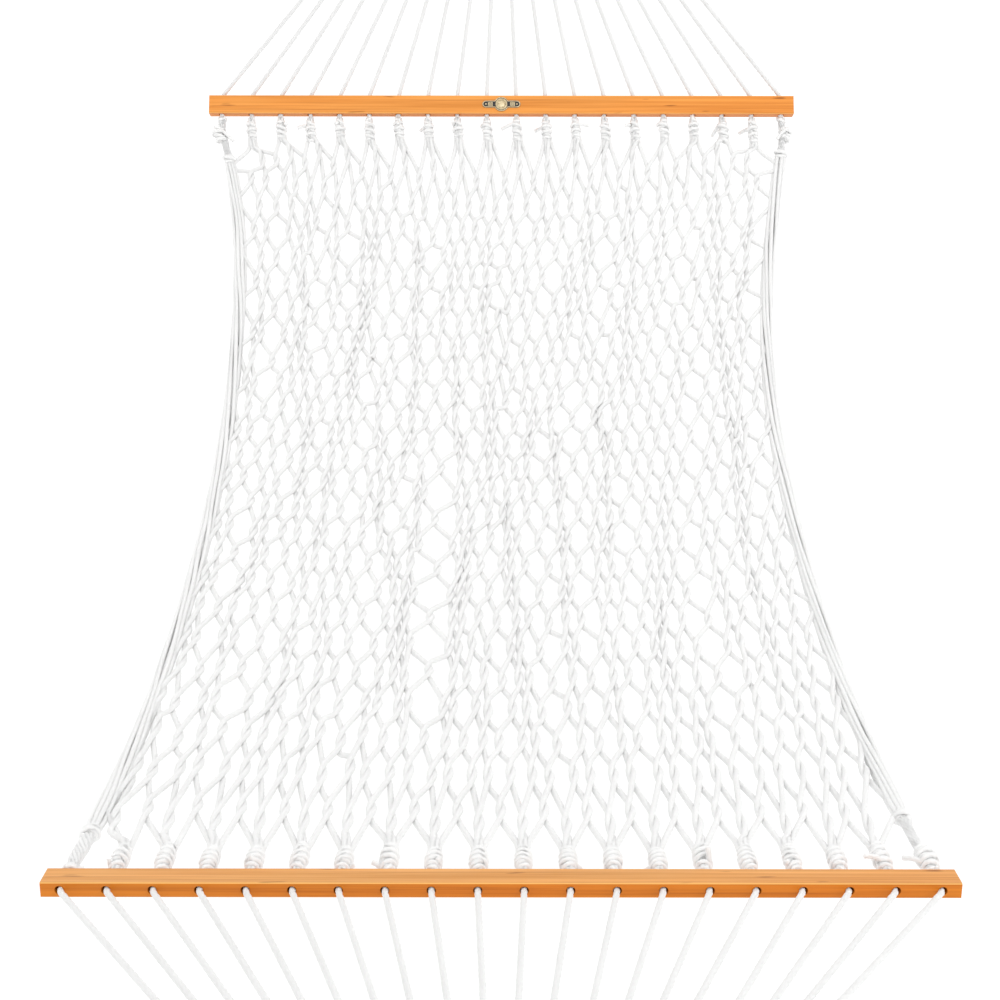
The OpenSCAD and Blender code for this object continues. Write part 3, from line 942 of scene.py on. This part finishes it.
def make_clews():
    for end in (FRONT, REAR):
        axes = ENDS[end]
        for i in range(HOLES):
            route = even(axes.at(*clew_route(end, i).T), CLEW_STEP)
            run = Run(route, CLEW_R, CLEW_LAY, phase=rng.uniform(0, 2 * math.pi))
            node = f"clew_rope_{axes.name}_{i + 1:02d}"
            bind(tubes(f"{node}_laid", [run], CLEW_ROPE), "bed", "clew_rope", node)


make_clews()


def rounded_loop(half_x, half_v, corner, count):
    """Points round a rectangle with round corners, evenly spaced."""
    arcs = []
    for cx, cv, first in ((1, 1, 0), (-1, 1, 90), (-1, -1, 180), (1, -1, 270)):
        angle = np.radians(first + np.linspace(0, 90, 12))
        x = cx * (half_x - corner) + corner * np.cos(angle)
        v = cv * (half_v - corner) + corner * np.sin(angle)
        arcs.append(np.column_stack([x, v]))
    loop = np.concatenate(arcs + [arcs[0][:1]])
    return even(loop, lengths(loop)[-1] / count)


CORD_R = 2.4 * MM
COLLAR_HALF = (32 * MM, 23 * MM)    # across the bed and square to it


def make_whipping():
    for end in (FRONT, REAR):
        axes = ENDS[end]
        loop = rounded_loop(COLLAR_HALF[0] - CORD_R, COLLAR_HALF[1] - CORD_R, 11 * MM, 72)[:-1]
        turns = int(COLLAR_LEN / (2 * CORD_R * 0.96))
        around = np.tile(loop, (turns, 1))
        u = COLLAR_U + CORD_R + np.linspace(0, COLLAR_LEN - 2 * CORD_R, len(around))
        tuck_in = np.array([[around[0, 0] - 9 * MM, u[0], around[0, 1] - 6 * MM]])
        tuck_out = np.array([[around[-1, 0] - 9 * MM, u[-1], around[-1, 1] - 6 * MM]])
        route = np.concatenate([tuck_in, np.column_stack([around[:, 0], u, around[:, 1]]), tuck_out])
        points = even(axes.at(*softened(route, 2 * MM).T), 2.2 * MM)
        piece = tubes(f"clew_whipping_{axes.name}_cord", [Run(points, CORD_R, 16 * MM)], CLEW_ROPE, sides=9)
        bind(piece, "bed", "clew_rope", f"clew_whipping_{axes.name}")


make_whipping()

EYE_ROPE_R, EYE_LAY = 4.5 * MM, 38 * MM


def eye_route(column, outer):
    """One loop round the ring's wire, its two legs ending inside the whipping."""
    start_x = (column - (COLUMNS - 1) / 2) * COLUMN_PITCH
    x = start_x * 0.8
    legs_v = 15 * MM if outer else 5 * MM
    radius = 17.4 * MM if outer else 9.4 * MM
    wire_u = RING_U - math.sqrt(RING_R**2 - x**2)
    angle = np.linspace(-math.pi / 2, math.pi / 2, 16)
    bow = np.column_stack([np.full(16, x), wire_u + radius * np.cos(angle), radius * np.sin(angle)])
    bound_u = RING_U - COLLAR_TOP - 8 * MM
    first = np.array([[start_x, COLLAR_U - 2 * MM, -legs_v], [start_x * 0.95, bound_u, -legs_v]])
    last = first[::-1] * np.array([1, 1, -1])
    return softened(np.concatenate([first, bow, last]), 2.5 * MM)


def make_eyes():
    for end in (FRONT, REAR):
        axes = ENDS[end]
        runs = []
        for column in range(COLUMNS):
            for outer in (False, True):
                points = even(axes.at(*eye_route(column, outer).T), 3 * MM)
                runs.append(Run(points, EYE_ROPE_R, EYE_LAY, phase=rng.uniform(0, 6)))
        piece = tubes(f"clew_eyes_{axes.name}_loops", runs, CLEW_ROPE)
        bind(piece, "bed", "clew_rope", f"clew_eyes_{axes.name}")


make_eyes()

# ---------------------------------------------------------------- rings and hooks
THREAD_LEN, THREAD_R, THREAD_ROOT_R = 62 * MM, 4.75 * MM, 3.4 * MM
THREAD_PITCH = 3.6 * MM
POINT_LEN = 10 * MM
SHANK_OUT = 25 * MM
TIP_ANGLE = math.radians(45)


def make_rings():
    for end in (FRONT, REAR):
        axes = ENDS[end]
        angle = np.linspace(0, 2 * math.pi, 145)[:-1]
        points = axes.at(RING_R * np.cos(angle), RING_U + RING_R * np.sin(angle), 0)
        weld = 1 + 0.035 * np.exp(-(((angle - 2.2) / 0.05) ** 2))
        run = Run(points, RING_WIRE_R * weld, closed=True)
        piece = tubes(f"ring_{axes.name}_steel", [run], STEEL, sides=28)
        bind(piece, f"ring_{axes.name}", "steel", f"ring_{axes.name}")


def hook_middle(end):
    """Middle of the crook, from the crook's own box: it rises highest at its top."""
    low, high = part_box(f"hook_{END_NAMES[end]}")
    z = high.z - CROOK_R - HOOK_WIRE_R
    y = (low.y if end == REAR else high.y) + end * (CROOK_R + HOOK_WIRE_R)
    return np.array([0, y, z])


def thread_points(centre, end):
    """Points of a coarse wood thread with its tapered end, ring by ring, and their counts."""
    sides, rings = 40, 260
    along = np.linspace(0, THREAD_LEN + POINT_LEN, rings)
    angle = 2 * math.pi * np.arange(sides) / sides
    phase = (along[:, None] / THREAD_PITCH - angle / (2 * math.pi)) % 1
    ridge = np.clip(1 - np.abs(phase - 0.5) / 0.30, 0, 1)
    taper = np.clip((THREAD_LEN + POINT_LEN - along) / POINT_LEN, 0.04, 1)[:, None]
    radius = (THREAD_ROOT_R + (THREAD_R - THREAD_ROOT_R) * ridge) * taper
    start = np.clip(along / (4 * MM), 0, 1)[:, None]
    radius = THREAD_R * (1 - start) + radius * start
    y = centre[1] + end * (SHANK_OUT + along)[:, None] + np.zeros(sides)
    x = centre[0] + radius * np.cos(angle)
    z = centre[2] - CROOK_R + radius * np.sin(angle)
    return np.stack([x, y, z], axis=-1).reshape(-1, 3), rings, sides


def make_hooks():
    for end in (FRONT, REAR):
        centre = hook_middle(end)
        arc = np.linspace(TIP_ANGLE, 1.5 * math.pi, 60)
        crook = np.column_stack([np.zeros(60), end * CROOK_R * np.cos(arc), CROOK_R * np.sin(arc)])
        shank = np.array([[0, end * t, -CROOK_R] for t in np.linspace(2 * MM, SHANK_OUT, 12)])
        points = even(np.concatenate([crook, shank]) + centre, 1.6 * MM)
        along = lengths(points)
        ball = HOOK_WIRE_R * 1.14
        round_end = np.sqrt(np.maximum(ball**2 - (ball - along) ** 2, 1e-9))
        blend = np.clip((along - ball) / (5 * MM), 0, 1)
        radius = np.where(along < ball, round_end, ball + (HOOK_WIRE_R - ball) * blend)
        verts, quads, tris, quad_uv, tri_uv = tube_arrays(Run(points, radius), 32)
        screw, rings, sides = thread_points(centre, end)
        more = bands(rings, sides) + len(verts)
        tip = fan((rings - 1) * sides, sides, rings * sides) + len(verts)
        if end == REAR:
            more, tip = more[:, ::-1], tip[:, ::-1]
        quads = np.concatenate([quads, more])
        name = f"hook_{END_NAMES[end]}"
        point = centre + np.array([0, end * (SHANK_OUT + THREAD_LEN + POINT_LEN), -CROOK_R])
        verts = np.concatenate([verts, screw, point[None]])
        piece = mesh_from(f"{name}_steel", verts, quads, np.concatenate([tris, tip]))
        piece.data.materials.append(STEEL)
        bind(piece, "hooks", "steel", name)


make_rings()
make_hooks()

# ---------------------------------------------------------------- bars and nameplate
PLATE_LEN, WING_W, DISC_R, PLATE_T = 91 * MM, 17 * MM, 17.5 * MM, 1.5 * MM
PLATE_TOP = BAR_T / 2 + PLATE_T
CHAMFER = 0.4 * MM
DOME_R, DOME_RISE = 7.6 * MM, 1.5 * MM
RELIEF_RINGS = ((12.8 * MM, 1.1 * MM), (10.9 * MM, 0.7 * MM), (8.6 * MM, 0.9 * MM))    # radius and thickness
TICKS, TICK_IN, TICK_OUT = 24, 9.4 * MM, 10.4 * MM
RIB_PLACES = (-4.2 * MM, -1.4 * MM, 1.4 * MM, 4.2 * MM)
RIB_START, RIB_END = 21.5 * MM, 31.5 * MM


def dress_bars():
    for end in (FRONT, REAR):
        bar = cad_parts[f"spreader_bar_{END_NAMES[end]}"]
        bar.material_slots[0].material = wood_material(f"bar_wood_{END_NAMES[end]}", end)


def arc_points(centre_x, radius, first, last, count):
    angle = np.radians(np.linspace(first, last, count))
    return np.column_stack([centre_x + radius * np.cos(angle), radius * np.sin(angle)])


def plate_outline(inset):
    """The plate's outline, inset: a disc between two wings with round ends."""
    wing = WING_W / 2 - inset
    disc = DISC_R - inset
    meet = math.degrees(math.asin(wing / disc))
    hole = PLATE_LEN / 2 - WING_W / 2
    return np.concatenate([
        arc_points(hole, wing, -90, 90, 16),
        arc_points(0, disc, meet, 180 - meet, 26),
        arc_points(-hole, wing, 90, 270, 16),
        arc_points(0, disc, 180 + meet, 360 - meet, 26),
    ])


def on_plate(flat, height):
    """Points above the rear bar, given flat from the plate's middle."""
    return ENDS[REAR].at(flat[:, 0], BAR_W / 2 + flat[:, 1], height)


def make_enamel():
    steps = ((0, BAR_T / 2), (0, PLATE_TOP - CHAMFER), (CHAMFER, PLATE_TOP))
    loops = [on_plate(plate_outline(inset), height) for inset, height in steps]
    n = len(loops[0])
    middles = [ENDS[REAR].at(0, BAR_W / 2, height)[None] for height in (BAR_T / 2, PLATE_TOP)]
    caps = np.concatenate([fan(0, n, 3 * n)[:, [1, 0, 2]], fan(2 * n, n, 3 * n + 1)])
    plate = mesh_from("nameplate_enamel", np.concatenate(loops + middles), bands(3, n), caps)
    plate.data.polygons.foreach_set("use_smooth", np.zeros(len(plate.data.polygons), bool))
    plate.data.materials.append(ENAMEL)
    bind(plate, "bed", "plate_enamel", "nameplate")


def relief_rim(flat, radius):
    closed = np.concatenate([on_plate(flat, PLATE_TOP), on_plate(flat[:1], PLATE_TOP)])
    return Run(even(closed, 1.0 * MM)[:-1], radius, closed=True)


def relief_line(ends, step, radius):
    return Run(even(on_plate(np.array(ends), PLATE_TOP), step), radius)


def make_relief():
    """Brass rims, rings and ticks on the disc, and a ribbed frame on each wing."""
    runs = [relief_rim(plate_outline(1.3 * MM), 1.0 * MM)]
    for radius, thick in RELIEF_RINGS:
        runs.append(relief_rim(arc_points(0, radius, 0, 354, 60), thick))
    for tick in range(TICKS):
        angle = 2 * math.pi * tick / TICKS
        way = np.array([math.cos(angle), math.sin(angle)])
        runs.append(relief_line([way * TICK_IN, way * TICK_OUT], 0.5 * MM, 0.55 * MM))
    for sx in (LEFT, RIGHT):
        for off in RIB_PLACES:
            runs.append(relief_line([[sx * RIB_START, off], [sx * RIB_END, off * 0.8]], 1 * MM, 0.85 * MM))
        for x in (sx * RIB_START, sx * RIB_END):
            runs.append(relief_line([[x, -4.4 * MM], [x, 4.4 * MM]], 1 * MM, 0.7 * MM))
    bind(tubes("nameplate_relief", runs, BRASS, sides=10), "bed", "plate_pin")


def make_dome():
    theta = np.linspace(0, 2 * math.pi, 41)[:-1]
    circle = np.column_stack([np.cos(theta), np.sin(theta)])
    loops = []
    for share in (1.0, 0.92, 0.75, 0.5, 0.25):
        height = PLATE_TOP + DOME_RISE * math.sqrt(max(0.0, 1 - share**2)) - 0.05 * MM
        loops.append(on_plate(circle * DOME_R * share, height))
    n = len(theta)
    verts = np.concatenate(loops + [ENDS[REAR].at(0, BAR_W / 2, PLATE_TOP + DOME_RISE)[None]])
    dome = mesh_from("nameplate_dome", verts, bands(5, n), fan(4 * n, n, 5 * n))
    dome.data.materials.append(BRASS)
    bind(dome, "bed", "plate_pin")


dress_bars()
make_enamel()
make_relief()
make_dome()
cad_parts["nameplate_pins"].material_slots[0].material = BRASS
